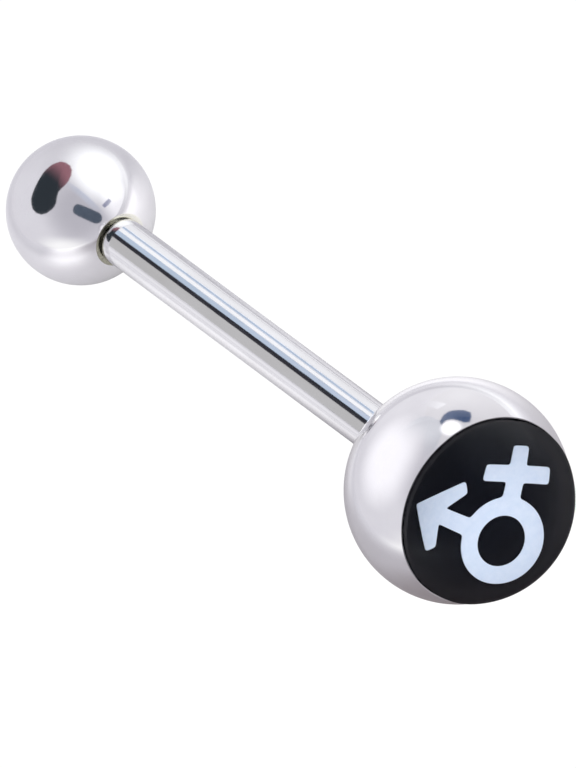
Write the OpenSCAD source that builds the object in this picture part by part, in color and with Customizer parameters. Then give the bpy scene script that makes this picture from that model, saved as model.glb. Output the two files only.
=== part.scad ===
// Tongue barbell: a straight steel bar, a large display ball with a domed picture inlay, and a screw-on ball.
// Millimetres. +Z is up and +X runs along the bar, from the screw ball to the display ball.
// The barbell lies on its two balls; the origin is on the surface below the middle of its bounding box.

/* [Bar] */
// Diameter of the bar, 14 gauge
bar_d = 1.63; // [1.4:0.01:2]
// Length of the bar from shoulder to shoulder
bar_len = 15.9; // [8:0.1:30]
// Bevel at each of the bar's shoulders
shoulder_bevel = 0.05; // [0.02:0.01:0.12]
// Diameter of the plain peg that holds the bar in the display ball
peg_d = 1.2; // [0.8:0.02:1.3]
// Length of the peg
peg_len = 2; // [1:0.1:2.4]
// Radial clearance of the peg, and the space past its end
peg_clearance = 0.015; // [0.01:0.005:0.05]
// Gap that is left between the bar's shoulder and the display ball's flat
fixed_gap = 0.01; // [0.005:0.005:0.03]

/* [Threaded stub] */
// Outer diameter of the threaded stub
stub_d = 1.2; // [0.8:0.02:1.3]
// Length of the stub, past the bar's shoulder
stub_len = 1.9; // [1:0.1:2.1]
// Bevel at the stub's tip
stub_bevel = 0.12; // [0.05:0.01:0.2]
// Radial clearance of the stub in the screw ball
thread_clearance = 0.03; // [0.01:0.005:0.08]
// Gap that is left between the bar's shoulder and the screw ball's flat
shoulder_gap = 0.1; // [0.05:0.01:0.2]

/* [Screw ball] */
// Diameter of the screw ball
screw_ball_d = 5; // [4.5:0.1:7]
// Width of the small flat that stands out round the bar's end, on both balls
flat_margin = 0.13; // [0.05:0.01:0.3]
// Depth of the hole past the end of the stub
hole_spare = 0.2; // [0.1:0.05:0.3]
// Width of the bevel at the hole's mouth
hole_bevel = 0.08; // [0.02:0.01:0.12]

/* [Display ball] */
// Diameter of the display ball
display_ball_d = 7.47; // [6.6:0.01:10]
// Half angle of the inlay's seat, seen from the middle of the ball
seat_angle = 61.1; // [45:0.1:66]
// Width of the thin steel lip round the inlay
lip_w = 0.05; // [0.02:0.01:0.2]
// Depth of the seat below the lip
seat_depth = 0.2; // [0.18:0.01:0.5]

/* [Inlay] */
// Angle by which the inlay leans up, off the bar's own axis: its lighter side lies on top
inlay_lean = 6.4; // [0:0.1:10]
// Thickness of the black picture disc
disc_t = 0.12; // [0.05:0.01:0.14]
// Radial clearance of the disc and the dome in the seat
inlay_clearance = 0.02; // [0.01:0.005:0.04]
// Thickness of the air left between one layer of the inlay and the next
layer_gap = 0.01; // [0.005:0.005:0.015]
// Rise of the clear dome's top over the lip
dome_rise = 2.395; // [0.8:0.005:2.6]
// Height of the dome's steep edge over the lip, where its round top begins
dome_edge = 0.26; // [0.05:0.01:0.4]

/* [Sign] */
// Thickness of the white sign
sign_t = 0.02; // [0.01:0.005:0.03]
// Turn of the sign's stem from straight up, counter-clockwise seen from its front
sign_turn = -52.5; // [-180:0.1:180]
// Width of the sign's strokes, as a share of the disc's radius, like the sign's other lengths
stroke = 0.147; // [0.08:0.001:0.2]
// Radius of the ring at the middle of its stroke
ring_r = 0.27; // [0.18:0.005:0.32]
// Ring's centre, to the right of the disc's middle
ring_x = 0.14; // [-0.1:0.005:0.2]
// Ring's centre, above the disc's middle
ring_y = -0.2; // [-0.3:0.005:0.1]
// From the ring's centre up to the middle of the crossbar
stem_len = 0.54; // [0.5:0.005:0.6]
// From the middle of the crossbar up to the top of the cross
top_len = 0.265; // [0.15:0.005:0.35]
// Length of the crossbar
cross_w = 0.59; // [0.4:0.005:0.7]
// Turn of the arrow from the stem, counter-clockwise seen from the front
arrow_turn = 78; // [60:0.5:120]
// From the ring's centre to the tip of the arrow
arrow_len = 0.98; // [0.8:0.005:1.05]
// From the ring's centre to the notches where the arrow's barbs leave its shaft
notch_len = 0.62; // [0.5:0.005:0.75]
// Width of a barb at its square end
barb_w = 0.115; // [0.08:0.005:0.14]
// Length of the barb on the cross's side, along its outer edge
near_barb_len = 0.555; // [0.4:0.005:0.6]
// Angle between the shaft and the outer edge of that barb
near_barb_turn = 38.5; // [35:0.5:50]
// Length of the other barb, along its outer edge
far_barb_len = 0.5; // [0.4:0.005:0.6]
// Angle between the shaft and the outer edge of that barb
far_barb_turn = 44.5; // [35:0.5:50]

/* [Hidden] */
$fn = 128;
// Reach of a cutting shape past the surface that it cuts
over = 1;

bar_r = bar_d / 2;
stub_r = stub_d / 2;
peg_r = peg_d / 2;
screw_r = screw_ball_d / 2;
display_r = display_ball_d / 2;
flat_r = bar_r + flat_margin;
hole_r = stub_r + thread_clearance;

// Heights along the bar's axis, from the middle of the screw ball
flat_h = sqrt(screw_r ^ 2 - flat_r ^ 2);
shoulder_h = flat_h + shoulder_gap;
hole_depth = stub_len - shoulder_gap + hole_spare;
fixed_h = shoulder_h + bar_len;
display_flat_h = fixed_h + fixed_gap;
display_h = display_flat_h + sqrt(display_r ^ 2 - flat_r ^ 2);

// Heights along the inlay's axis, from the middle of the display ball
lip_h = display_r * cos(seat_angle);
seat_r = display_r * sin(seat_angle) - lip_w;
seat_h = lip_h - seat_depth;
disc_r = seat_r - inlay_clearance;
disc_h = seat_h + layer_gap;
sign_h = disc_h + disc_t + layer_gap;
dome_h = sign_h + sign_t + layer_gap;
apex_h = lip_h + dome_rise;
crown = dome_rise - dome_edge;
dome_r = (disc_r ^ 2 + crown ^ 2) / (2 * crown);
dome_mid_h = apex_h - dome_r;

// Resting place: the axis rises towards the larger ball
rest_tilt = asin((display_r - screw_r) / display_h);
reach_x = max(display_r, dome_mid_h * cos(rest_tilt + inlay_lean) + dome_r);
total_len = screw_r + display_h * cos(rest_tilt) + reach_x;
screw_x = screw_r - total_len / 2;

// Puts its children on the bar's axis, with +Z towards the display ball and +X up
module on_bar(height = 0) {
    translate([screw_x, 0, screw_r])
        rotate([0, 90 - rest_tilt, 0])
            rotate([0, 0, 180])
                translate([0, 0, height])
                    children();
}

// Puts its children on the inlay's axis, with +Z out of the display ball and +X up
module on_inlay(height = 0) {
    on_bar(display_h)
        rotate([0, inlay_lean, 0])
            translate([0, 0, height])
                children();
}

// Round bar with its threaded stub and its plain peg, drawn as one turned profile
module bar() {
    color("silver")
        on_bar()
            rotate_extrude()
                polygon([
                    [0, shoulder_h - stub_len],
                    [stub_r - stub_bevel, shoulder_h - stub_len],
                    [stub_r, shoulder_h - stub_len + stub_bevel],
                    [stub_r, shoulder_h],
                    [bar_r - shoulder_bevel, shoulder_h],
                    [bar_r, shoulder_h + shoulder_bevel],
                    [bar_r, fixed_h - shoulder_bevel],
                    [bar_r - shoulder_bevel, fixed_h],
                    [peg_r, fixed_h],
                    [peg_r, fixed_h + peg_len],
                    [0, fixed_h + peg_len],
                ]);
}

// Ball with a flat and a blind hole that screws on to the stub
module screw_ball() {
    color("gainsboro")
        on_bar()
            difference() {
                sphere(r = screw_r);
                translate([0, 0, flat_h])
                    cylinder(h = screw_r, r = screw_r);
                translate([0, 0, flat_h - hole_depth])
                    cylinder(h = hole_depth + over, r = hole_r);
                translate([0, 0, flat_h - hole_bevel])
                    cylinder(h = 2 * hole_bevel, r1 = hole_r, r2 = hole_r + 2 * hole_bevel);
            }
}

// Large ball with a flat and a blind hole for the bar's peg, and a shallow round seat for the inlay.
// It is turned a quarter about the bar, so that the line where its round surface closes is at the side.
module display_ball() {
    color("gainsboro")
        difference() {
            on_bar(display_h)
                rotate([0, 0, 90])
                    sphere(r = display_r);
            on_bar(display_flat_h - display_r)
                cylinder(h = display_r, r = display_r);
            on_bar(fixed_h)
                cylinder(h = peg_len + peg_clearance, r = peg_r + peg_clearance);
            on_inlay(lip_h)
                cylinder(h = display_r, r = display_r);
            on_inlay(seat_h)
                cylinder(h = seat_depth + over, r = seat_r);
        }
}

// Black disc at the bottom of the seat, on which the sign is printed
module picture_disc() {
    color("black")
        on_inlay(disc_h)
            cylinder(h = disc_t, r = disc_r);
}

// One side of the arrow, from the middle of the ring out along its shaft and round its barb
function arrow_side(barb_len, barb_turn) =
    let(
        tip = [0, arrow_len],
        along = [sin(barb_turn), -cos(barb_turn)],
        inward = [along.y, -along.x],
        outer_end = tip + barb_len * along
    )
    [
        [stroke / 2, 0],
        [stroke / 2, notch_len],
        outer_end + barb_w * inward,
        outer_end,
    ];

// Arrow along +Y from the ring's centre, with two square-ended barbs
module arrow_outline() {
    near_side = arrow_side(near_barb_len, near_barb_turn);
    far_side = arrow_side(far_barb_len, far_barb_turn);
    polygon(concat(near_side, [[0, arrow_len]], [for (i = [3:-1:0]) [-far_side[i].x, far_side[i].y]]));
}

// Outline of the sign, in shares of the disc's radius, with its stem along +Y
module sign_outline() {
    translate([ring_x, ring_y])
        difference() {
            union() {
                circle(r = ring_r + stroke / 2);
                translate([-stroke / 2, 0])
                    square([stroke, stem_len + top_len]);
                translate([-cross_w / 2, stem_len - stroke / 2])
                    square([cross_w, stroke]);
                rotate(arrow_turn)
                    arrow_outline();
            }
            circle(r = ring_r - stroke / 2);
        }
}

// White sign: a ring with a cross above it and an arrow at its side
module sign() {
    color("aliceblue")
        on_inlay(sign_h)
            rotate([0, 0, sign_turn - 90])
                linear_extrude(sign_t)
                    scale(disc_r)
                        sign_outline();
}

// Clear dome that fills the seat and stands over the lip
module dome() {
    color("dimgray", 0.6)
        intersection() {
            on_inlay(dome_mid_h)
                sphere(r = dome_r);
            on_inlay(dome_h)
                cylinder(h = apex_h - dome_h + over, r = disc_r);
        }
}

bar();
display_ball();
picture_disc();
sign();
dome();
screw_ball();
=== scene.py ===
"""Looks of the tongue barbell: finely turned steel, a printed inlay under a clear dome, and a soft studio.

Sizes and points of the object are in millimetres. The studio's distances, and all that is handed to the
scene, are in metres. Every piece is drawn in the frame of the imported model, for the node of its name.
"""
import math

import bpy
from mathutils import Matrix, Vector
from mathutils.geometry import tessellate_polygon


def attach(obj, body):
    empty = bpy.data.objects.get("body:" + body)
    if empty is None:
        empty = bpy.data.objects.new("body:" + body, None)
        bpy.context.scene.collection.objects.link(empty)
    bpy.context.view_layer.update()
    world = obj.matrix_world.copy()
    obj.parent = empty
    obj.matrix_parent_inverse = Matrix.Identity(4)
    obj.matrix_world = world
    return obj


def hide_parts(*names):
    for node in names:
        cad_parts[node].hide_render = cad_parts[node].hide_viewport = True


MM = 0.001

# Sizes of the metal, as the source of the solids has them
BAR_R = 0.815
BAR_LEN = 15.9
STUB_R = 0.6
STUB_LEN = 1.9
STUB_TIP = 0.12
PEG_R = 0.6
PEG_LEN = 2.0
SHOULDER_GAP = 0.1
FIXED_GAP = 0.01
SCREW_R = 2.5
DISPLAY_R = 3.735
FLAT_MARGIN = 0.13
THREAD_CLEARANCE = 0.03
HOLE_SPARE = 0.2
HOLE_BEVEL = 0.08
PEG_CLEARANCE = 0.015

# Roundings of the edges
SHOULDER_ROUND = 0.06
PEG_ROUND = 0.05
RIM_ROUND = 0.02
MOUTH_ROUND = 0.015
SEAT_ROUND = 0.015
LIP_ROUND = 0.014
LIP_INNER_ROUND = 0.012
FINE_ROUND = 0.01
DOME_ROUND = 0.06

# Thread of the stub, and its shallower mate in the ball, with the lengths over which their ends fade
THREAD_PITCH = 0.25
THREAD_DEPTH = 0.14
THREAD_FLAT = 0.15
THREAD_FADE = 0.1
NECK_LEN = 0.12
NECK_DEPTH = 0.08
NECK_FOOT = 0.015
HOLE_THREAD_DEPTH = 0.03
HOLE_THREAD_SPARE = 0.02
HOLE_THREAD_START = 0.05
PEG_HOLE_SPARE = 0.025

# Sizes of the inlay
INLAY_LEAN = math.radians(6.4)
SEAT_ANGLE = math.radians(61.1)
LIP_W = 0.05
SEAT_DEPTH = 0.2
INLAY_CLEARANCE = 0.02
LAYER_GAP = 0.01
DISC_T = 0.12
SIGN_T = 0.02
DOME_RISE = 2.395
DOME_EDGE = 0.26
# How deep the resin and the ink reach into the disc, so that no air shows between them
RESIN_DIP = 0.03
INK_DIP = 0.01

# Shape of the sign, in shares of the disc's radius
SIGN_TURN = math.radians(-52.5)
STROKE = 0.147
RING_R = 0.27
RING_X = 0.14
RING_Y = -0.2
STEM_LEN = 0.54
TOP_LEN = 0.265
CROSS_W = 0.59
ARROW_TURN = math.radians(78)
ARROW_LEN = 0.98
NOTCH_LEN = 0.62
BARB_W = 0.115
NEAR_BARB = (0.555, math.radians(38.5))
FAR_BARB = (0.5, math.radians(44.5))
INK_STEP = 0.008
INK_PASSES = 10

# Fineness of the meshes
ROUND_STEPS = 256
BALL_ROWS = 150
DOME_ROWS = 130
BAR_ROWS = 40
THREAD_ROWS = 14
EDGE_STEPS = 5
DOME_EDGE_STEPS = 8
# Radius of the ring within a flat end: of the stub's tip, and as a share of the end's own elsewhere
TIP_MIDDLE_R = 0.25
HOLE_MIDDLE = 0.6
MIDDLE = 0.5
# Angles left free between a round surface's rings and its edge, its lip or its pole
EDGE_MARGIN = 0.02
LIP_MARGIN = 0.012
POLE_MARGIN = 0.015
CROWN_MARGIN = 0.012

# Heights along the bar's axis, from the middle of the screw ball
FLAT_R = BAR_R + FLAT_MARGIN
FLAT_H = math.sqrt(SCREW_R ** 2 - FLAT_R ** 2)
SHOULDER_H = FLAT_H + SHOULDER_GAP
FIXED_H = SHOULDER_H + BAR_LEN
DISPLAY_FLAT_H = FIXED_H + FIXED_GAP
DISPLAY_H = DISPLAY_FLAT_H + math.sqrt(DISPLAY_R ** 2 - FLAT_R ** 2)
TIP_H = SHOULDER_H - STUB_LEN
HOLE_R = STUB_R + THREAD_CLEARANCE
HOLE_H = TIP_H - HOLE_SPARE

# Heights along the inlay's axis, from the middle of the display ball
LIP_R = DISPLAY_R * math.sin(SEAT_ANGLE)
LIP_H = DISPLAY_R * math.cos(SEAT_ANGLE)
SEAT_R = LIP_R - LIP_W
SEAT_H = LIP_H - SEAT_DEPTH
DISC_R = SEAT_R - INLAY_CLEARANCE
DISC_LOW = SEAT_H + LAYER_GAP
DISC_TOP = DISC_LOW + DISC_T
SIGN_TOP = DISC_TOP + LAYER_GAP + SIGN_T
CROWN = DOME_RISE - DOME_EDGE
DOME_R = (DISC_R ** 2 + CROWN ** 2) / (2 * CROWN)
DOME_MID_H = LIP_H + DOME_RISE - DOME_R

# Resting place: the axis rises towards the larger ball
REST_TILT = math.asin((DISPLAY_R - SCREW_R) / DISPLAY_H)
REACH_X = max(DISPLAY_R, DOME_MID_H * math.cos(REST_TILT + INLAY_LEAN) + DOME_R)
SCREW_X = SCREW_R - (SCREW_R + DISPLAY_H * math.cos(REST_TILT) + REACH_X) / 2


def towards(azimuth, elevation):
    """Direction at an azimuth from +X and an elevation over the floor, in degrees."""
    a, e = math.radians(azimuth), math.radians(elevation)
    return Vector((math.cos(e) * math.cos(a), math.cos(e) * math.sin(a), math.sin(e)))


def axes_at(origin, axis, up):
    """Matrix whose +Z is axis, whose +X is as near to up as it can be, and whose origin is the point."""
    z = axis.normalized()
    x = (up - up.dot(z) * z).normalized()
    y = z.cross(x)
    turn = Matrix((x, y, z)).transposed()
    return Matrix.Translation(origin) @ turn.to_4x4()


def in_side_plane(angle):
    """Direction that rises from +X by an angle, without turning aside."""
    return Vector((math.cos(angle), 0, math.sin(angle)))


UP = Vector((0, 0, 1))
BAR_AXIS = in_side_plane(REST_TILT)
INLAY_AXIS = in_side_plane(REST_TILT + INLAY_LEAN)
SCREW_MID = Vector((SCREW_X, 0, SCREW_R))
DISPLAY_MID = SCREW_MID + DISPLAY_H * BAR_AXIS
BAR_MID = SCREW_MID + (SHOULDER_H + FIXED_H) / 2 * BAR_AXIS
ON_BAR = axes_at(SCREW_MID, BAR_AXIS, UP)
ON_INLAY = axes_at(DISPLAY_MID, INLAY_AXIS, UP)

# Camera: a long lens, whose picture is PICTURE_HEIGHT pixels high
CAMERA_AZIMUTH = -12.51
CAMERA_ELEVATION = 46.941
CAMERA_ROLL = math.radians(-35.553)
CAMERA_DISTANCE = 0.88
CAMERA_REACH = (0.05, 10.0)
AIM = Vector((0.0760, -0.3268, 2.2113))
PIXELS_PER_M = 30290
PICTURE_HEIGHT = 768
SENSOR_MM = 36.0

# Picture axes of the camera: back towards it, to the right and to the top
BACK = towards(CAMERA_AZIMUTH, CAMERA_ELEVATION)
LEVEL = UP.cross(BACK).normalized()
RIGHT = math.cos(CAMERA_ROLL) * LEVEL + math.sin(CAMERA_ROLL) * BACK.cross(LEVEL)
TOP = BACK.cross(RIGHT)

# Colours of the studio in linear light
TENT = (0.73, 0.72, 0.775)
FAR_SIDE = (0.62, 0.61, 0.66)
LENS_SIDE = (0.50, 0.49, 0.545)
WINDOW = (1.25, 1.27, 1.30)
WINDOW_RIM = (0.68, 0.80, 1.02)
LOW_LAMP = (1.02, 1.02, 1.03)
WHITE = (1.0, 1.0, 1.0)
BLACK_CLOTH = (0.045, 0.045, 0.055)
# Where the tent darkens towards +Y and towards the lens
FAR_SIDE_FADE = (-0.3, 0.8)
LENS_SIDE_FADE = (0.35, 0.98)
# Direction across the window's straight edge, where the window starts there, and where its blue rim ends
WINDOW_EDGE = Vector((-0.179, 0.971, -0.161))
WINDOW_START = (-0.165, -0.125)
RIM_END = (-0.02, 0.05)
# Brightness of the paper and the backdrop to the camera
BACKDROP = 1.05
# Brightness of a white flag in the tent, and how much a flag's shade varies
FLAG_LIGHT = 0.85
FLAG_GRAIN = 0.1
# How much more light reaches the print through the dome
PRINT_BOOST = 1.5
# How much the resin bends light, and how much of its mirroring the dome's edge loses
RESIN_IOR = 1.5
EDGE_DULL = 0.8

# Distance of the dark flag from the small ball
DARK_FLAG_FAR = 0.4
# Corners of the flags, as azimuths and elevations in degrees, seen from the middle of a ball
DARK_FLAG = ((150, 43), (141, 47), (130, 53), (120, 61), (112, 69), (107, 78), (111, 84), (217, 87),
             (253, 80), (271, 73), (280, 65), (279, 59), (274, 53), (266, 45), (257, 39), (247, 35),
             (237, 33), (228, 34), (220, 36), (211, 40), (201, 43), (188, 44), (176, 43), (162, 42))
LENS_HOOD = ((10, 25), (10, 20), (8, 16), (4, 13), (0, 13), (356, 15), (353, 18),
             (334, 44), (331, 48), (331, 52), (336, 56), (343, 58), (351, 57), (356, 53))
LATCH = ((23, 27), (22, 22), (29, 19), (37, 17), (39, 22), (32, 25))
BLIND = ((133, 49), (132, 43), (129, 38), (124, 35), (118, 32), (112, 31), (107, 35),
         (102, 41), (105, 45), (113, 46), (120, 47), (126, 50), (130, 58), (135, 56))
WINDOW_BLIND = ((140, -2), (150, 20), (152, 45), (140, 66), (100, 80),
                (40, 70), (20, 45), (22, 20), (40, -2))


# Shapes

def ring(place, radius, height, steps=ROUND_STEPS, swell=None):
    """Points of a circle about a matrix's own +Z; swell(angle) adds to its radius."""
    found = []
    for i in range(steps):
        a = 2 * math.pi * i / steps
        r = radius + (swell(a) if swell else 0.0)
        found.append(place @ Vector((r * math.cos(a), r * math.sin(a), height)))
    return found


def arc(mid_h, radius, start, end, steps):
    """Profile points (radius, height) of an arc about a point of the axis; its angles are from the axis."""
    angles = [start + (end - start) * k / steps for k in range(steps + 1)]
    return [(radius * math.sin(a), mid_h + radius * math.cos(a)) for a in angles]


def on_axis(place, height):
    """Point at a height on a matrix's own +Z."""
    return place @ Vector((0, 0, height))


def rings_of(place, profile):
    """Rings of a turned shape."""
    return [ring(place, r, h) for r, h in profile]


def skin(name, rings, first, last):
    """Closed mesh over rings of points, from the middle point first to the middle point last."""
    steps = len(rings[0])
    points = [first] + [p for one in rings for p in one] + [last]
    faces = [(0, 1 + i, 1 + (i + 1) % steps) for i in range(steps)]
    for k in range(len(rings) - 1):
        low, high = 1 + k * steps, 1 + (k + 1) * steps
        for i in range(steps):
            j = (i + 1) % steps
            faces.append((low + i, high + i, high + j, low + j))
    end, low = len(points) - 1, 1 + (len(rings) - 1) * steps
    faces += [(end, low + (i + 1) % steps, low + i) for i in range(steps)]
    return solid(name, points, faces)


def sheet(name, points, faces):
    """Object in the scene from points in metres."""
    mesh = bpy.data.meshes.new(name)
    mesh.from_pydata(points, [], faces)
    mesh.update()
    item = bpy.data.objects.new(name, mesh)
    bpy.context.scene.collection.objects.link(item)
    return item


def square(name, half):
    """Level square sheet round the origin, as wide as twice half."""
    points = [(x * half, y * half, 0) for x, y in ((-1, -1), (1, -1), (1, 1), (-1, 1))]
    return sheet(name, points, [(0, 1, 2, 3)])


def solid(name, points, faces, smooth_deg=32):
    """Object from points in millimetres, with outward faces and smooth shading up to an angle."""
    item = sheet(name, [p * MM for p in points], faces)
    bpy.context.view_layer.objects.active = item
    item.select_set(True)
    bpy.ops.object.mode_set(mode="EDIT")
    bpy.ops.mesh.select_all(action="SELECT")
    bpy.ops.mesh.normals_make_consistent(inside=False)
    bpy.ops.object.mode_set(mode="OBJECT")
    bpy.ops.object.shade_smooth_by_angle(angle=math.radians(smooth_deg))
    item.select_set(False)
    return item


def fillet(corner_r, corner_h, before, after, radius, steps=EDGE_STEPS):
    """Profile points that round a corner between two straight directions, as (radius, height) vectors."""
    b = Vector(before).normalized()
    a = Vector(after).normalized()
    cut = radius / math.tan((math.pi - b.angle(a)) / 2)
    corner = Vector((corner_r, corner_h))
    start, end = corner - b * cut, corner + a * cut
    found = []
    for k in range(steps + 1):
        t = k / steps
        p = (1 - t) ** 2 * start + 2 * t * (1 - t) * corner + t ** 2 * end
        found.append((p.x, p.y))
    return found


def ridge(height, angle, depth):
    """How far a thread's surface lies under its crest at a height and an angle."""
    phase = (height / THREAD_PITCH - angle / (2 * math.pi)) % 1.0
    rise = abs(phase - 0.5) * 2
    return -depth * min(1.0, max(0.0, (rise - THREAD_FLAT) / (1 - 2 * THREAD_FLAT)))


def threaded(place, crest_r, low, high, depth, fade_low, fade_high):
    """Rings of a screw thread that fades out over the given lengths at its two ends."""
    rows = int((high - low) / THREAD_PITCH * THREAD_ROWS)
    found = []
    for k in range(rows + 1):
        h = low + (high - low) * k / rows
        below = (h - low) / fade_low if fade_low else 1.0
        above = (high - h) / fade_high if fade_high else 1.0
        share = min(1.0, below, above)
        found.append(ring(place, crest_r, h, swell=lambda a: ridge(h, a, depth) * share))
    return found


def make_bar():
    neck_r = STUB_R - NECK_DEPTH
    tip = [(TIP_MIDDLE_R, TIP_H)] + fillet(STUB_R - STUB_TIP, TIP_H, (1, 0), (1, 1), RIM_ROUND)
    rings = rings_of(ON_BAR, tip)
    rings += threaded(ON_BAR, STUB_R, TIP_H + STUB_TIP, SHOULDER_H - NECK_LEN, THREAD_DEPTH, 0, THREAD_FADE)
    body = [(neck_r, SHOULDER_H - NECK_LEN / 2), (neck_r, SHOULDER_H - NECK_FOOT)]
    body += [(neck_r + RIM_ROUND, SHOULDER_H)]
    body += fillet(BAR_R, SHOULDER_H, (1, 0), (0, 1), SHOULDER_ROUND)
    body += [(BAR_R, SHOULDER_H + BAR_LEN * k / BAR_ROWS) for k in range(1, BAR_ROWS)]
    body += fillet(BAR_R, FIXED_H, (0, 1), (-1, 0), SHOULDER_ROUND)
    body += [(PEG_R + FINE_ROUND, FIXED_H), (PEG_R, FIXED_H + FINE_ROUND)]
    body += fillet(PEG_R, FIXED_H + PEG_LEN, (0, 1), (-1, 0), PEG_ROUND)
    rings += rings_of(ON_BAR, body)
    return skin("bar_skin", rings, on_axis(ON_BAR, TIP_H), on_axis(ON_BAR, FIXED_H + PEG_LEN))


def make_screw_ball():
    bottom = [(HOLE_R * HOLE_MIDDLE, HOLE_H), (HOLE_R - RIM_ROUND, HOLE_H), (HOLE_R, HOLE_H + RIM_ROUND)]
    low, high = HOLE_H + HOLE_THREAD_START, FLAT_H - HOLE_BEVEL - HOLE_THREAD_SPARE
    crest_r = HOLE_R + HOLE_THREAD_SPARE
    mouth = fillet(HOLE_R + HOLE_BEVEL, FLAT_H, (1, 1), (1, 0), MOUTH_ROUND)
    flat_angle = math.asin(FLAT_R / SCREW_R)
    mouth += fillet(FLAT_R, FLAT_H, (1, 0), (math.cos(flat_angle), -math.sin(flat_angle)), RIM_ROUND)
    mouth += arc(0, SCREW_R, flat_angle + EDGE_MARGIN, math.pi - POLE_MARGIN, BALL_ROWS)
    rings = rings_of(ON_BAR, bottom)
    rings += threaded(ON_BAR, crest_r, low, high, HOLE_THREAD_DEPTH, THREAD_FADE, THREAD_FADE / 2)
    rings += rings_of(ON_BAR, mouth)
    return skin("screw_ball_skin", rings, on_axis(ON_BAR, HOLE_H), on_axis(ON_BAR, -SCREW_R))


def between(share):
    """Frame at the display ball's middle whose axis turns from the inlay's (0) to the bar's (1)."""
    return axes_at(DISPLAY_MID, INLAY_AXIS.slerp(BAR_AXIS, share), UP)


def make_display_ball():
    """Its rings start about the inlay's axis and end about the bar's, so that both openings stay round."""
    seat = [(SEAT_R * MIDDLE, SEAT_H)] + fillet(SEAT_R, SEAT_H, (1, 0), (0, 1), SEAT_ROUND)
    seat += fillet(SEAT_R, LIP_H, (0, 1), (1, 0), LIP_INNER_ROUND)
    seat += fillet(LIP_R, LIP_H, (1, 0), (math.cos(SEAT_ANGLE), -math.sin(SEAT_ANGLE)), LIP_ROUND)
    rings = rings_of(ON_INLAY, seat)
    flat_angle = math.asin(FLAT_R / DISPLAY_R)
    start, end = SEAT_ANGLE + LIP_MARGIN, math.pi - flat_angle - LIP_MARGIN
    for k, (r, h) in enumerate(arc(0, DISPLAY_R, start, end, BALL_ROWS)):
        rings.append(ring(between(k / BALL_ROWS), r, h))
    flat_h = DISPLAY_FLAT_H - DISPLAY_H
    hole_r, hole_h = PEG_R + PEG_CLEARANCE, flat_h + PEG_LEN + PEG_HOLE_SPARE
    on_ball = between(1.0)
    back = fillet(FLAT_R, flat_h, (-math.cos(flat_angle), -math.sin(flat_angle)), (-1, 0), RIM_ROUND)
    back += fillet(hole_r, flat_h, (-1, 0), (0, 1), FINE_ROUND)
    back += [(hole_r, hole_h), (hole_r * MIDDLE, hole_h)]
    rings += rings_of(on_ball, back)
    return skin("display_ball_skin", rings, on_axis(ON_INLAY, SEAT_H), on_axis(on_ball, hole_h))


def make_disc():
    profile = [(DISC_R * MIDDLE, DISC_LOW)] + fillet(DISC_R, DISC_LOW, (1, 0), (0, 1), FINE_ROUND)
    profile += fillet(DISC_R, DISC_TOP, (0, 1), (-1, 0), FINE_ROUND) + [(DISC_R * MIDDLE, DISC_TOP)]
    rings = rings_of(ON_INLAY, profile)
    return skin("picture_disc_skin", rings, on_axis(ON_INLAY, DISC_LOW), on_axis(ON_INLAY, DISC_TOP))


def make_dome():
    low = DISC_TOP - RESIN_DIP
    edge_angle = math.asin(DISC_R / DOME_R)
    edge_h = DOME_MID_H + DOME_R * math.cos(edge_angle)
    over_edge = (-math.cos(edge_angle), math.sin(edge_angle))
    profile = [(DISC_R * MIDDLE, low)] + fillet(DISC_R, low, (1, 0), (0, 1), FINE_ROUND)
    profile += fillet(DISC_R, edge_h, (0, 1), over_edge, DOME_ROUND, DOME_EDGE_STEPS)
    profile += arc(DOME_MID_H, DOME_R, edge_angle - EDGE_MARGIN, CROWN_MARGIN, DOME_ROWS)
    rings = rings_of(ON_INLAY, profile)
    return skin("dome_skin", rings, on_axis(ON_INLAY, low), on_axis(ON_INLAY, DOME_MID_H + DOME_R))


# Where a stroke's side leaves the ring
STROKE_FOOT = (STROKE / 2, math.sqrt((RING_R + STROKE / 2) ** 2 - (STROKE / 2) ** 2))


def mirrored_outline(points):
    return [(-x, y) for x, y in reversed(points)]


def cross_outline():
    """Outline of the cross, from the ring's right side over the top to the ring's left side."""
    h = STROKE / 2
    right = [STROKE_FOOT, (h, STEM_LEN - h), (CROSS_W / 2, STEM_LEN - h), (CROSS_W / 2, STEM_LEN + h),
             (h, STEM_LEN + h), (h, STEM_LEN + TOP_LEN)]
    return right + mirrored_outline(right)


def arrow_side(barb_len, barb_turn):
    """One side of the arrow, from the ring's edge out along its shaft and round its barb."""
    along = Vector((math.sin(barb_turn), -math.cos(barb_turn)))
    inward = Vector((along.y, -along.x))
    outer_end = Vector((0, ARROW_LEN)) + barb_len * along
    inner_end = outer_end + BARB_W * inward
    return [STROKE_FOOT, (STROKE / 2, NOTCH_LEN), tuple(inner_end), tuple(outer_end)]


def arrow_outline():
    """Outline of the arrow along its own +Y, from the ring's right side round its tip to the left side."""
    return arrow_side(*NEAR_BARB) + [(0, ARROW_LEN)] + mirrored_outline(arrow_side(*FAR_BARB))


def turned(points, angle):
    c, s = math.cos(angle), math.sin(angle)
    return [(c * x - s * y, s * x + c * y) for x, y in points]


def circle(radius, start, end, steps):
    """Points round the ring's middle, counter-clockwise, from start up to but without end."""
    angles = [start + (end - start) * k / steps for k in range(steps)]
    return [(radius * math.cos(a), radius * math.sin(a)) for a in angles]


def arc_between(start, end, steps):
    """Points on the ring's outer edge, counter-clockwise from one point to another, without the ends."""
    a = math.atan2(start[1], start[0])
    b = math.atan2(end[1], end[0])
    if b < a:
        b += 2 * math.pi
    return circle(RING_R + STROKE / 2, a, b, steps)[1:]


def resampled(loop, spacing):
    """The same closed outline with points at even distances."""
    found = []
    for (ax, ay), (bx, by) in zip(loop, loop[1:] + loop[:1]):
        count = max(1, round(math.hypot(bx - ax, by - ay) / spacing))
        found += [(ax + (bx - ax) * k / count, ay + (by - ay) * k / count) for k in range(count)]
    return found


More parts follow.
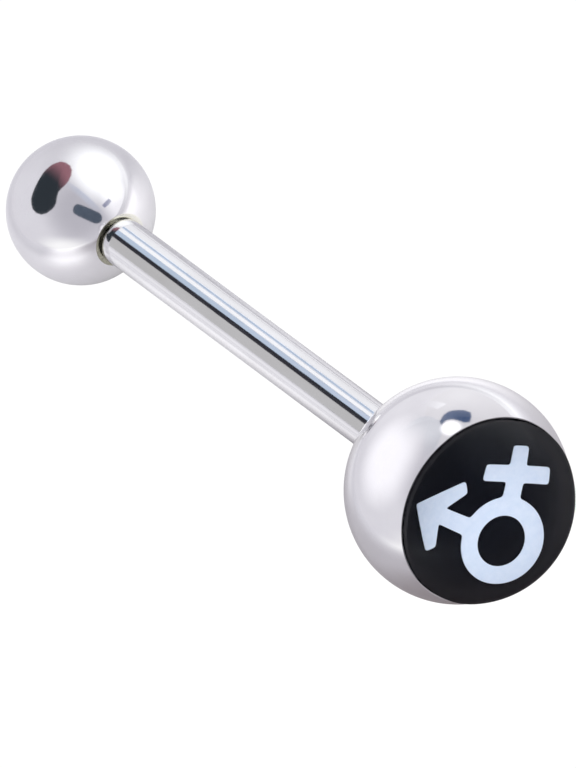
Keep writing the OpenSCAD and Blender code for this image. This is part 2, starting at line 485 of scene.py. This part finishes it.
def softened(loop, passes):
    """Rounds an outline's corners a little, as ink does."""
    for _ in range(passes):
        triples = zip(loop[-1:] + loop[:-1], loop, loop[1:] + loop[:1])
        loop = [((p[0] + 2 * q[0] + r[0]) / 4, (p[1] + 2 * q[1] + r[1]) / 4) for p, q, r in triples]
    return loop


def make_sign():
    cross = cross_outline()
    arrow = turned(arrow_outline(), ARROW_TURN)
    outline = cross + arc_between(cross[-1], arrow[0], steps=12)
    outline += arrow + arc_between(arrow[-1], cross[0], steps=90)
    outer = softened(resampled(outline, INK_STEP), INK_PASSES)
    inner = circle(RING_R - STROKE / 2, 0.0, 2 * math.pi, steps=120)
    loops = [[Vector((x, y, 0)) for x, y in loop] for loop in (outer, inner)]
    place = ON_INLAY @ Matrix.Rotation(SIGN_TURN - math.pi / 2, 4, "Z")

    def at(p, height):
        return place @ Vector(((p.x + RING_X) * DISC_R, (p.y + RING_Y) * DISC_R, height))

    flat = [p for loop in loops for p in loop]
    count = len(flat)
    points = [at(p, SIGN_TOP) for p in flat] + [at(p, DISC_TOP - INK_DIP) for p in flat]
    triangles = tessellate_polygon(loops)
    faces = [tuple(t) for t in triangles] + [tuple(i + count for i in reversed(t)) for t in triangles]
    first = 0
    for loop in loops:
        n = len(loop)
        for i in range(n):
            a, b = first + i, first + (i + 1) % n
            faces.append((a, b, b + count, a + count))
        first += n
    return solid("sign_skin", points, faces)


# Nodes

class Nodes:
    """Adds nodes to a tree with short calls; ray is the vector that they measure."""

    def __init__(self, tree, ray):
        self.tree = tree
        self.ray = ray

    def add(self, kind, **values):
        node = self.tree.nodes.new(kind)
        for key, value in values.items():
            setattr(node, key, value)
        return node

    def link(self, source, target):
        self.tree.links.new(source, target)

    def feed(self, socket, part):
        """Links a socket, or sets it to a number or a colour."""
        if isinstance(part, (int, float)):
            socket.default_value = part
        elif isinstance(part, tuple):
            socket.default_value = (*part, 1.0)
        else:
            self.link(part, socket)

    def maths(self, operation, *parts):
        node = self.add("ShaderNodeMath", operation=operation)
        for socket, part in zip(node.inputs, parts):
            self.feed(socket, part)
        return node.outputs["Value"]

    def inverse(self, share):
        return self.maths("SUBTRACT", 1.0, share)

    def vector_maths(self, operation, vector, other, output="Vector"):
        node = self.add("ShaderNodeVectorMath", operation=operation)
        self.link(vector, node.inputs[0])
        node.inputs[1].default_value = other
        return node.outputs[output]

    def along(self, direction):
        return self.vector_maths("DOT_PRODUCT", self.ray, direction, "Value")

    def away(self, x, y):
        """Distance from a place on the floor, which is in millimetres."""
        return self.vector_maths("DISTANCE", self.ray, (x * MM, y * MM, 0), "Value")

    def pool(self, x, y, inner, outer, strength):
        """Strength in a circle on the floor that fades between its two radii; lengths are in millimetres."""
        near = self.inverse(self.step_mm(self.away(x, y), inner, outer))
        return self.maths("MULTIPLY", near, strength)

    def step(self, value, low, high):
        """Smooth step from 0 at low to 1 at high."""
        node = self.add("ShaderNodeMapRange", interpolation_type="SMOOTHSTEP")
        node.inputs["From Min"].default_value = low
        node.inputs["From Max"].default_value = high
        self.link(value, node.inputs["Value"])
        return node.outputs["Result"]

    def step_mm(self, length, low, high):
        """Smooth step of a length between two others, which are in millimetres."""
        return self.step(length, low * MM, high * MM)

    def mixed(self, share, under, over, kind="RGBA"):
        """Mix of two colours or, with the kind FLOAT, of two numbers."""
        node = self.add("ShaderNodeMix", data_type=kind, clamp_factor=True)
        self.link(share, node.inputs["Factor"])
        self.feed(node.inputs["A"], under)
        self.feed(node.inputs["B"], over)
        return node.outputs["Result"]

    def mixed_shaders(self, share, under, over):
        node = self.add("ShaderNodeMixShader")
        self.link(share, node.inputs["Fac"])
        self.link(under, node.inputs[1])
        self.link(over, node.inputs[2])
        return node.outputs["Shader"]

    def emission(self, colour, strength=1.0):
        node = self.add("ShaderNodeEmission")
        self.feed(node.inputs["Color"], colour)
        self.feed(node.inputs["Strength"], strength)
        return node.outputs["Emission"]


class Paint(Nodes):
    """One material, painted over the place on the surface."""

    def __init__(self, name):
        self.material = bpy.data.materials.new(name)
        self.material.use_nodes = True
        tree = self.material.node_tree
        self.shader = tree.nodes["Principled BSDF"]
        self.surface = tree.nodes["Material Output"].inputs["Surface"]
        super().__init__(tree, tree.nodes.new("ShaderNodeTexCoord").outputs["Object"])

    def set(self, **values):
        for key, value in values.items():
            self.feed(self.shader.inputs[key.replace("_", " ")], value)

    def stretched(self, scale, turn=(0, 0, 0)):
        node = self.add("ShaderNodeMapping")
        node.inputs["Scale"].default_value = scale
        node.inputs["Rotation"].default_value = turn
        self.link(self.ray, node.inputs["Vector"])
        return node.outputs["Vector"]

    def noise(self, vector, scale, detail=4.0, roughness=0.55):
        node = self.add("ShaderNodeTexNoise")
        node.inputs["Scale"].default_value = scale
        node.inputs["Detail"].default_value = detail
        node.inputs["Roughness"].default_value = roughness
        self.link(vector, node.inputs["Vector"])
        return node.outputs["Fac"]

    def spread(self, grain, low, high):
        """Number that follows the middle of a noise from low to high."""
        node = self.add("ShaderNodeMapRange")
        node.inputs["From Min"].default_value = 0.3
        node.inputs["From Max"].default_value = 0.7
        node.inputs["To Min"].default_value = low
        node.inputs["To Max"].default_value = high
        self.link(grain, node.inputs["Value"])
        return node.outputs["Result"]

    def blend(self, grain, low, high):
        """Colour that follows the middle of a noise from low to high."""
        node = self.add("ShaderNodeValToRGB")
        for element, place, colour in zip(node.color_ramp.elements, (0.3, 0.7), (low, high)):
            element.position = place
            element.color = (*colour, 1.0)
        self.link(grain, node.inputs["Fac"])
        return node.outputs["Color"]

    def bump(self, height, distance):
        node = self.add("ShaderNodeBump")
        node.inputs["Distance"].default_value = distance
        node.inputs["Strength"].default_value = 1.0
        self.link(height, node.inputs["Height"])
        self.link(node.outputs["Normal"], self.shader.inputs["Normal"])

    def from_origin(self, flat=False):
        """Sky in the directions from the frame's origin to the places on the surface, level if flat."""
        place = self.vector_maths("MULTIPLY", self.ray, (1, 1, 0)) if flat else self.ray
        unit = self.add("ShaderNodeVectorMath", operation="NORMALIZE")
        self.link(place, unit.inputs[0])
        return Sky(self.tree, unit.outputs["Vector"])


class Sky(Nodes):
    """Paints the studio over the directions in which the steel looks at it."""

    def oval(self, middle, towards_end, half_long, half_short, inner, outer):
        """Soft oval about a direction, long towards another one; its half sizes are in degrees."""
        long_axis = (towards_end - towards_end.dot(middle) * middle).normalized()
        short_axis = middle.cross(long_axis)
        x = self.maths("DIVIDE", self.along(long_axis), math.sin(math.radians(half_long)))
        y = self.maths("DIVIDE", self.along(short_axis), math.sin(math.radians(half_short)))
        squares = self.maths("ADD", self.maths("MULTIPLY", x, x), self.maths("MULTIPLY", y, y))
        inside = self.inverse(self.step(self.maths("SQRT", squares), inner, outer))
        return self.maths("MULTIPLY", inside, self.maths("GREATER_THAN", self.along(middle), 0.0))

    def tent(self):
        """Colour of the tent in each direction, darker on the lens's side."""
        light = self.mixed(self.step(self.along((0, 1, 0)), *FAR_SIDE_FADE), TENT, FAR_SIDE)
        return self.mixed(self.step(self.along(BACK), *LENS_SIDE_FADE), light, LENS_SIDE)

    def studio(self):
        """Colour of the tent, its window and its low lamp in each direction."""
        side = self.along(WINDOW_EDGE)
        opening = self.oval(towards(86, 34), towards(140, -4), half_long=62, half_short=46,
                            inner=0.4, outer=1.15)
        window = self.maths("MULTIPLY", self.step(side, *WINDOW_START), opening)
        panes = self.mixed(self.step(side, *RIM_END), WINDOW_RIM, WINDOW)
        light = self.mixed(window, self.tent(), panes)
        lamp = self.oval(towards(-66, -4), towards(-20, -4), half_long=40, half_short=22,
                         inner=0.3, outer=1.1)
        return self.mixed(lamp, light, LOW_LAMP)


# Materials

# Faced flats at the bar, in millimetres: how far their paint reaches past them, the radii between which
# their painted shadow ends, and the places along Y between which their painted light sets in
FACED_SPARE = 0.004
FACED_PAINTED_SHADOW_END = (0.71, 0.77)
FACED_PAINTED_LIGHT_START = (0.0, 0.5)


def faced_flats_with_painted_light(paint):
    """Share and colour of the flats at the bar, which are faced and not polished, with painted shadow and
    painted light.
    """
    start = SCREW_MID.dot(BAR_AXIS)
    height = paint.along(BAR_AXIS)
    past_one = paint.maths("GREATER_THAN", height, (start + FLAT_H - FACED_SPARE) * MM)
    before_other = paint.maths("LESS_THAN", height, (start + DISPLAY_FLAT_H + FACED_SPARE) * MM)
    off_axis = paint.vector_maths("CROSS_PRODUCT", paint.ray, BAR_AXIS)
    radius = paint.vector_maths("DISTANCE", off_axis, SCREW_MID.cross(BAR_AXIS) * MM, "Value")
    # Painted shadow near the bar, where the shoulder shades them, and painted light where they catch the
    # window on its far side
    outside = paint.step_mm(radius, *FACED_PAINTED_SHADOW_END)
    painted_light_share = paint.step_mm(paint.along((0, 1, 0)), *FACED_PAINTED_LIGHT_START)
    painted_shadow = paint.mixed(painted_light_share, (0.02, 0.018, 0.015), (0.5, 0.49, 0.45))
    faced_with_painted_light = paint.mixed(painted_light_share, (0.42, 0.41, 0.33), (1.0, 0.99, 0.88))
    return paint.maths("MULTIPLY", past_one, before_other), paint.mixed(outside, painted_shadow, faced_with_painted_light)


def polished_ball():
    paint = Paint("polished_ball")
    paint.set(Metallic=1.0)
    broad = paint.noise(paint.ray, scale=700.0, detail=3.0)
    scratched = paint.stretched((1.0, 5.0, 9.0), turn=(0.4, 0.9, 0.3))
    fine = paint.noise(scratched, scale=5200.0, detail=5.0, roughness=0.7)
    # The faced flats bring their painted shadow and painted light into the balls' colour
    share, faced_with_painted_light = faced_flats_with_painted_light(paint)
    steel = paint.blend(broad, (0.90, 0.89, 0.90), (0.95, 0.945, 0.95))
    paint.set(Base_Color=paint.mixed(share, steel, faced_with_painted_light))
    paint.set(Roughness=paint.mixed(share, paint.spread(fine, 0.05, 0.11), 0.24, "FLOAT"))
    paint.bump(broad, distance=0.4e-6)
    return paint.material


def polished_bar():
    """Drawn steel, which mirrors less at its grazing edges."""
    paint = Paint("polished_bar")
    lengthwise = paint.noise(paint.stretched((0.02, 1.0, 1.0)), scale=14000.0, detail=6.0, roughness=0.7)
    broad = paint.noise(paint.stretched((0.3, 1.0, 1.0)), scale=1500.0, detail=3.0)
    paint.set(Metallic=1.0, Specular_Tint=(0.72, 0.72, 0.74))
    paint.set(Base_Color=paint.blend(broad, (0.87, 0.865, 0.86), (0.93, 0.93, 0.93)))
    paint.set(Roughness=paint.spread(lengthwise, 0.05, 0.13))
    paint.bump(lengthwise, distance=0.25e-6)
    return paint.material


def black_print():
    """Print has no gloss of its own, because the resin wets it."""
    paint = Paint("black_print")
    grain = paint.noise(paint.ray, scale=9000.0)
    paint.set(Roughness=0.4, Specular_IOR_Level=0.0)
    paint.set(Base_Color=paint.blend(grain, (0.002, 0.002, 0.003), (0.005, 0.006, 0.009)))
    return paint.material


def white_print():
    paint = Paint("white_print")
    grain = paint.noise(paint.ray, scale=5200.0, detail=5.0, roughness=0.6)
    paint.set(Roughness=0.5, Specular_IOR_Level=0.0)
    paint.set(Base_Color=paint.blend(grain, (0.72, 0.84, 0.96), (0.80, 0.90, 1.0)))
    return paint.material


def clear_resin():
    """Clear resin, whose steep edge mirrors less than its top."""
    paint = Paint("clear_resin")
    haze = paint.noise(paint.ray, scale=400.0, detail=3.0)
    tint = paint.blend(haze, (0.96, 0.97, 1.0), WHITE)
    paint.set(IOR=RESIN_IOR, Roughness=0.0, Transmission_Weight=1.0, Specular_Tint=(0.22, 0.23, 0.27))
    paint.set(Base_Color=tint)
    paint.bump(haze, distance=1.0e-6)
    bent = paint.add("ShaderNodeBsdfRefraction")
    bent.inputs["IOR"].default_value = RESIN_IOR
    bent.inputs["Roughness"].default_value = 0.0
    paint.link(tint, bent.inputs["Color"])
    graze = paint.add("ShaderNodeLayerWeight")
    graze.inputs["Blend"].default_value = 0.5
    outside = paint.inverse(paint.add("ShaderNodeNewGeometry").outputs["Backfacing"])
    dull = paint.maths("MULTIPLY", paint.step(graze.outputs["Facing"], 0.3, 0.8), EDGE_DULL)
    edge = paint.maths("MULTIPLY", outside, dull)
    paint.link(paint.mixed_shaders(edge, paint.shader.outputs["BSDF"], bent.outputs["BSDF"]), paint.surface)
    return paint.material


# Studio

def make_camera():
    camera = bpy.data.objects.new("camera", bpy.data.cameras.new("camera"))
    bpy.context.scene.collection.objects.link(camera)
    camera.data.sensor_width = SENSOR_MM
    camera.data.lens = PIXELS_PER_M * CAMERA_DISTANCE / PICTURE_HEIGHT * SENSOR_MM
    camera.data.clip_start, camera.data.clip_end = CAMERA_REACH
    turn = Matrix((RIGHT, TOP, BACK)).transposed().to_4x4()
    camera.matrix_world = Matrix.Translation(AIM * MM + BACK * CAMERA_DISTANCE) @ turn
    bpy.context.scene.camera = camera


def make_world():
    world = bpy.data.worlds.new("studio")
    bpy.context.scene.world = world
    world.use_nodes = True
    tree = world.node_tree
    sky = Sky(tree, tree.nodes.new("ShaderNodeTexCoord").outputs["Generated"])
    backdrop = tree.nodes["Background"]
    sky.link(sky.studio(), backdrop.inputs["Color"])
    path = sky.add("ShaderNodeLightPath")
    print_ray = sky.maths("MULTIPLY", path.outputs["Is Transmission Ray"],
                          sky.maths("MINIMUM", path.outputs["Diffuse Depth"], 1.0))
    boost = sky.maths("MULTIPLY", print_ray, PRINT_BOOST)
    sky.link(sky.maths("ADD", boost, 1.0), backdrop.inputs["Strength"])
    white = sky.add("ShaderNodeBackground")
    white.inputs["Color"].default_value = (*WHITE, 1.0)
    white.inputs["Strength"].default_value = BACKDROP
    seen = sky.mixed_shaders(path.outputs["Is Camera Ray"], backdrop.outputs["Background"],
                             white.outputs["Background"])
    sky.link(seen, tree.nodes["World Output"].inputs["Surface"])


# Painted light: a glow on the paper all over, and pools of it: x, y and radius in millimetres, strength
FLOOR_LIGHT = 0.08
POOLS = ((-11.0, -3.0, 13.0, 0.20), (-3.0, 8.0, 12.0, 0.42))
# Share of a pool's radius within which it is full
POOL_CORE = 0.15
# Distances over which the paper fades to the tent's brightness, in millimetres
TENT_FADE = (16.0, 50.0)
# Warm shade painted on the paper round the large ball: its colour, its middle and, for each of its
# rings, the inner radius, the outer radius and the strength; lengths are in millimetres
SHADE = (0.09, 0.05, 0.045)
SHADE_AT = (13.0, -4.0)
SHADE_RINGS = ((2.0, 9.0, 0.3), (4.0, 34.0, 0.3))


def make_floor():
    """White paper. Far from the object it is as bright as the tent, so that no edge shows in the steel."""
    floor = square("floor", 1.5)
    paint = Paint("floor")
    grain = paint.noise(paint.ray, scale=30.0)
    paint.set(Roughness=0.9, Specular_IOR_Level=0.0, Emission_Color=WHITE)
    paint.set(Base_Color=paint.blend(grain, (0.90, 0.89, 0.91), (0.92, 0.91, 0.93)))
    # Painted light: the paper glows all over and in pools, and far off in the tent's colours, for all rays
    # but the camera's
    light = FLOOR_LIGHT
    for x, y, radius, strength in POOLS:
        light = paint.maths("ADD", paint.pool(x, y, POOL_CORE * radius, radius, strength), light)
    paint.set(Emission_Strength=light)
    distant = paint.emission(paint.from_origin(flat=True).studio())
    fade = paint.step_mm(paint.away(0.0, 0.0), *TENT_FADE)
    paper = paint.mixed_shaders(fade, paint.shader.outputs["BSDF"], distant)
    # Painted shade: the paper darkens to a warm brown round the large ball
    close, wide = (paint.pool(*SHADE_AT, *ring_sizes) for ring_sizes in SHADE_RINGS)
    shaded = paint.mixed_shaders(paint.maths("ADD", close, wide), paper, paint.emission(SHADE))
    to_camera = paint.add("ShaderNodeLightPath").outputs["Is Camera Ray"]
    paint.link(paint.mixed_shaders(to_camera, shaded, paint.emission(WHITE, BACKDROP)), paint.surface)
    floor.data.materials.append(paint.material)


def linked(item, pieces):
    """Lets a light or a glowing sheet light only these pieces."""
    receivers = bpy.data.collections.new(item.name + "_lights")
    for piece in pieces:
        receivers.objects.link(piece)
    item.light_linking.receiver_collection = receivers


def hang(item, paint, bright_for):
    """Finishes a sheet of the studio, which only mirror reflections see and which glows for some pieces."""
    item.data.materials.append(paint.material)
    item.visible_camera = False
    item.visible_diffuse = False
    item.visible_transmission = False
    linked(item, bright_for)


def outlined(corner_angles):
    """The one row of directions of a flag with these corners."""
    return [[towards(a, e) for a, e in corner_angles]]


def mirrored(place, lean):
    """Direction that the bar mirrors into the lens at a place across it (-1 to 1), leaned by degrees."""
    out = (BACK - BACK.dot(BAR_AXIS) * BAR_AXIS).normalized()
    turn = 2 * math.asin(place)
    radial = math.cos(turn) * out - math.sin(turn) * BAR_AXIS.cross(out)
    cone = math.acos(-BACK.dot(BAR_AXIS)) + math.radians(lean)
    return math.cos(cone) * BAR_AXIS + math.sin(cone) * radial


def strip(first, last, lean=9.0, steps=12):
    """Rows of directions for a flag that the bar mirrors from one place across it to another."""
    places = [first + (last - first) * k / steps for k in range(steps + 1)]
    return [[mirrored(p, side) for p in places] for side in (-lean, lean)]


def make_flag(name, middle, rows, shade, bright_for, far, window=True):
    """Flag in front of the tent, shaded for some pieces and as bright as the tent for those in bright_for.

    Its rows of directions are seen from the point middle, which is in millimetres. The shade is a colour, or
    a call that paints the flag. Without window, the flag is as bright as the tent without its window.
    """
    points = [middle * MM + far * d for row in rows for d in row]
    wide = len(rows[0])
    faces = [(k * wide + i, k * wide + i + 1, (k + 1) * wide + i + 1, (k + 1) * wide + i)
             for k in range(len(rows) - 1) for i in range(wide - 1)] or [tuple(range(wide))]
    paint = Paint(name)
    if isinstance(shade, tuple):
        low, high = (tuple(c * share for c in shade) for share in (1 - FLAG_GRAIN, 1 + FLAG_GRAIN))
        base = paint.blend(paint.noise(paint.ray, scale=12.0), low, high)
    else:
        base = shade(paint)
    # The light that falls on the flag is taken off its glow, so that the two make up the tent's brightness
    sky = paint.from_origin()
    glow = paint.add("ShaderNodeMix", data_type="RGBA", blend_type="SUBTRACT")
    glow.inputs["Factor"].default_value = FLAG_LIGHT
    paint.link(sky.studio() if window else sky.tent(), glow.inputs["A"])
    paint.link(base, glow.inputs["B"])
    paint.set(Roughness=1.0, Specular_IOR_Level=0.0, Base_Color=base)
    paint.set(Emission_Color=glow.outputs["Result"], Emission_Strength=1.0)
    hang(sheet(name, points, faces), paint, bright_for)


def dark_with_red_end(paint):
    """Dark grey shade of the dark flag, with a reddish end."""
    near_end = paint.step(paint.along(towards(125, 57)), 0.78 * DARK_FLAG_FAR, 0.96 * DARK_FLAG_FAR)
    return paint.mixed(near_end, (0.038, 0.048, 0.056), (0.40, 0.19, 0.22))


def add_glow(paint, strength, colour=WHITE):
    """Makes a material clear, with light of its own added to what is behind it."""
    both = paint.add("ShaderNodeAddShader")
    paint.link(paint.emission(colour, strength), both.inputs[0])
    paint.link(paint.add("ShaderNodeBsdfTransparent").outputs["BSDF"], both.inputs[1])
    paint.link(both.outputs["Shader"], paint.surface)


def make_glow(name, place, inner, outer, strength, piece):
    """Soft round glow that one piece mirrors, full within its inner radius; radii are in millimetres."""
    glow = square(name, outer * MM)
    glow.matrix_world = place
    paint = Paint(name)
    add_glow(paint, paint.pool(0.0, 0.0, inner, outer, strength))
    hang(glow, paint, [piece])


def make_floor_glow(name, x, y, height, inner, outer, strength, piece):
    """Soft glow on the paper, with its place and its radii in millimetres."""
    make_glow(name, Matrix.Translation(Vector((x, y, height)) * MM), inner, outer, strength, piece)


def make_sky_glow(name, middle, direction, inner, outer, strength, piece, far=0.2):
    """Soft glow round a direction; inner and outer are degrees seen from the point middle."""
    place = axes_at(middle * MM + far * direction, -direction, UP)
    inner_r, outer_r = (far / MM * math.tan(math.radians(angle)) for angle in (inner, outer))
    make_glow(name, place, inner_r, outer_r, strength, piece)


def make_patch(name, middle, rows, colour, piece, far, strength=0.94, rise=0.08):
    """Clear sheet of this outline that shines for one piece, and brightens by rise towards +Y."""
    paint = Paint(name)
    brighter = paint.maths("MULTIPLY", paint.from_origin().along((0, 1, 0)), rise)
    add_glow(paint, paint.maths("ADD", strength, brighter), colour)
    points = [middle * MM + far * d for d in rows[0]]
    hang(sheet(name, points, [tuple(range(len(points)))]), paint, [piece])


# Fan of light on the paper, in millimetres along it: its reach, where it sets in and where it ends
FAN_REACH = 90.0
FAN_START = (4.0, 10.0)
FAN_END = (25.0, 80.0)
# How much its half width grows along it, and the share of the width within which it is full
FAN_SPREAD = 0.5
FAN_CORE = 0.1


def make_fan(name, turn, height, strength, piece):
    """Fan of light from the small ball out along its own +X, mirrored by one piece."""
    fan = square(name, FAN_REACH * MM)
    fan.matrix_world = Matrix.Translation(Vector((SCREW_X, 0, height)) * MM) @ Matrix.Rotation(turn, 4, "Z")
    paint = Paint(name)
    out = paint.along((1, 0, 0))
    aside = paint.maths("ABSOLUTE", paint.along((0, 1, 0)))
    widening = paint.maths("MULTIPLY", paint.maths("MAXIMUM", out, 0.0), FAN_SPREAD)
    across = paint.maths("DIVIDE", aside, paint.maths("ADD", widening, SCREW_R * MM))
    soft = paint.inverse(paint.step(across, FAN_CORE, 1.0))
    start = paint.step_mm(out, *FAN_START)
    end = paint.inverse(paint.step_mm(out, *FAN_END))
    shape = paint.maths("MULTIPLY", paint.maths("MULTIPLY", soft, start), end)
    add_glow(paint, paint.maths("MULTIPLY", shape, strength))
    hang(fan, paint, [piece])


def make_streak(name, first, last, brightness, colour, bar, far=0.25, half_long=14.0):
    """Lamp that the bar alone mirrors, from one place across it to another; half_long is in degrees."""
    a, b = mirrored(first, 0), mirrored(last, 0)
    lamp = bpy.data.lights.new(name, "AREA")
    lamp.shape = "RECTANGLE"
    lamp.size = 2 * far * math.tan(math.radians(half_long))
    lamp.size_y = 2 * far * math.tan(a.angle(b) / 2)
    lamp.energy = brightness * math.pi * lamp.size * lamp.size_y
    lamp.color = colour
    item = bpy.data.objects.new(name, lamp)
    bpy.context.scene.collection.objects.link(item)
    direction = (a + b).normalized()
    item.matrix_world = axes_at(BAR_MID * MM + far * direction, direction, direction.cross(b - a))
    linked(item, [bar])


# Assembly

def dress(piece, node, body, material):
    piece.data.materials.clear()
    piece.data.materials.append(material)
    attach(piece, body)
    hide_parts(node)


def light_small_ball(screw_ball, bar, others):
    """Flags and glows that the small ball mirrors."""
    no_bar = [piece for piece in others if piece != bar]
    make_flag("dark_flag", SCREW_MID, outlined(DARK_FLAG), dark_with_red_end, no_bar, far=DARK_FLAG_FAR,
              window=False)
    make_flag("lens_hood", SCREW_MID, outlined(LENS_HOOD), (0.11, 0.14, 0.18), others, far=0.38)
    make_flag("latch", SCREW_MID, outlined(LATCH), (0.20, 0.22, 0.36), others, far=0.38)
    make_fan("floor_glow", math.radians(-62), height=0.02, strength=0.42, piece=screw_ball)
    make_sky_glow("right_glow", SCREW_MID, towards(42, 6), 9, 34, 0.32, screw_ball, far=0.3)
    make_floor_glow("right_floor_glow", 2, 12, 0.05, 4, 18, 0.22, screw_ball)


def light_large_ball(display_ball, others):
    """Flags and glows that the large ball mirrors."""
    make_flag("blind", DISPLAY_MID, outlined(BLIND), (0.08, 0.13, 0.25), others, far=0.42)
    make_flag("window_blind", DISPLAY_MID, outlined(WINDOW_BLIND), (0.01, 0.01, 0.01), others, far=1.3)
    make_patch("window_patch", DISPLAY_MID, outlined(WINDOW_BLIND), (0.70, 0.69, 0.73), display_ball,
               far=1.25)
    make_sky_glow("side_glow", DISPLAY_MID, towards(-151, 40), 12, 42, 0.34, display_ball)
    make_sky_glow("upper_glow", DISPLAY_MID, towards(140, 60), 4, 22, 0.09, display_ball)
    make_sky_glow("far_glow", DISPLAY_MID, towards(145, 8), 5, 52, 0.17, display_ball, far=0.3)
    make_sky_glow("spark", DISPLAY_MID, towards(112, 57), 5, 11, 0.7, display_ball)
    make_floor_glow("far_floor_glow", -10, 30, 0.03, 8, 45, 0.16, display_ball)


def light_bar(bar, others):
    """Flags, lamps and glows that the bar mirrors, most of them at places across it from -1 to 1."""
    make_flag("bar_flag", BAR_MID, strip(-0.47, 0.27), BLACK_CLOTH, others, far=0.55)
    make_flag("bar_band", BAR_MID, strip(0.44, 0.52), BLACK_CLOTH, others, far=0.57)
    make_streak("lower_grey", -0.47, -0.085, 0.50, (1.0, 0.99, 1.0), bar)
    make_streak("upper_blue", 0.085, 0.27, 0.72, (0.66, 0.80, 1.0), bar)
    make_streak("band_blue", 0.43, 0.53, 0.70, (0.66, 0.79, 1.0), bar)
    make_streak("streak", 0.28, 0.41, 0.36, (0.95, 1.0, 1.0), bar)
    make_streak("upper_white", 0.54, 0.88, 0.18, (0.98, 1.0, 1.0), bar)
    make_streak("low_white", -0.62, -0.52, 0.16, WHITE, bar)
    make_floor_glow("bar_floor_glow", -20, -34, 0.04, 22, 50, 0.15, bar)
    make_floor_glow("bar_near_glow", -6, -6.5, 0.06, 3, 12, 0.24, bar)
    make_floor_glow("bar_far_glow", -31, 30, 0.05, 6, 24, 0.32, bar)


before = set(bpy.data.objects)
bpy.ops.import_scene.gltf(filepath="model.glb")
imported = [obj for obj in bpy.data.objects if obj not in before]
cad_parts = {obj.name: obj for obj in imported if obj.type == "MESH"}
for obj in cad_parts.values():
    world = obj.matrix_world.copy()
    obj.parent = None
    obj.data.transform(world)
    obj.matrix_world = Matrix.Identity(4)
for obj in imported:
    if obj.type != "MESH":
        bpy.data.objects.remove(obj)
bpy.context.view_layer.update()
make_camera()
bpy.context.scene.view_settings.view_transform = "Standard"
bpy.context.scene.view_settings.look = "None"
make_world()
make_floor()
ball_steel = polished_ball()
bar, display_ball, disc = make_bar(), make_display_ball(), make_disc()
sign, dome, screw_ball = make_sign(), make_dome(), make_screw_ball()
dress(bar, "bar", "post", polished_bar())
dress(display_ball, "display_ball", "post", ball_steel)
dress(disc, "picture_disc", "post", black_print())
dress(sign, "sign", "post", white_print())
dress(dome, "dome", "post", clear_resin())
dress(screw_ball, "screw_ball", "end_ball", ball_steel)
light_small_ball(screw_ball, bar, [bar, display_ball, disc, sign, dome])
light_large_ball(display_ball, [bar, disc, sign, dome, screw_ball])
light_bar(bar, [display_ball, disc, sign, dome, screw_ball])
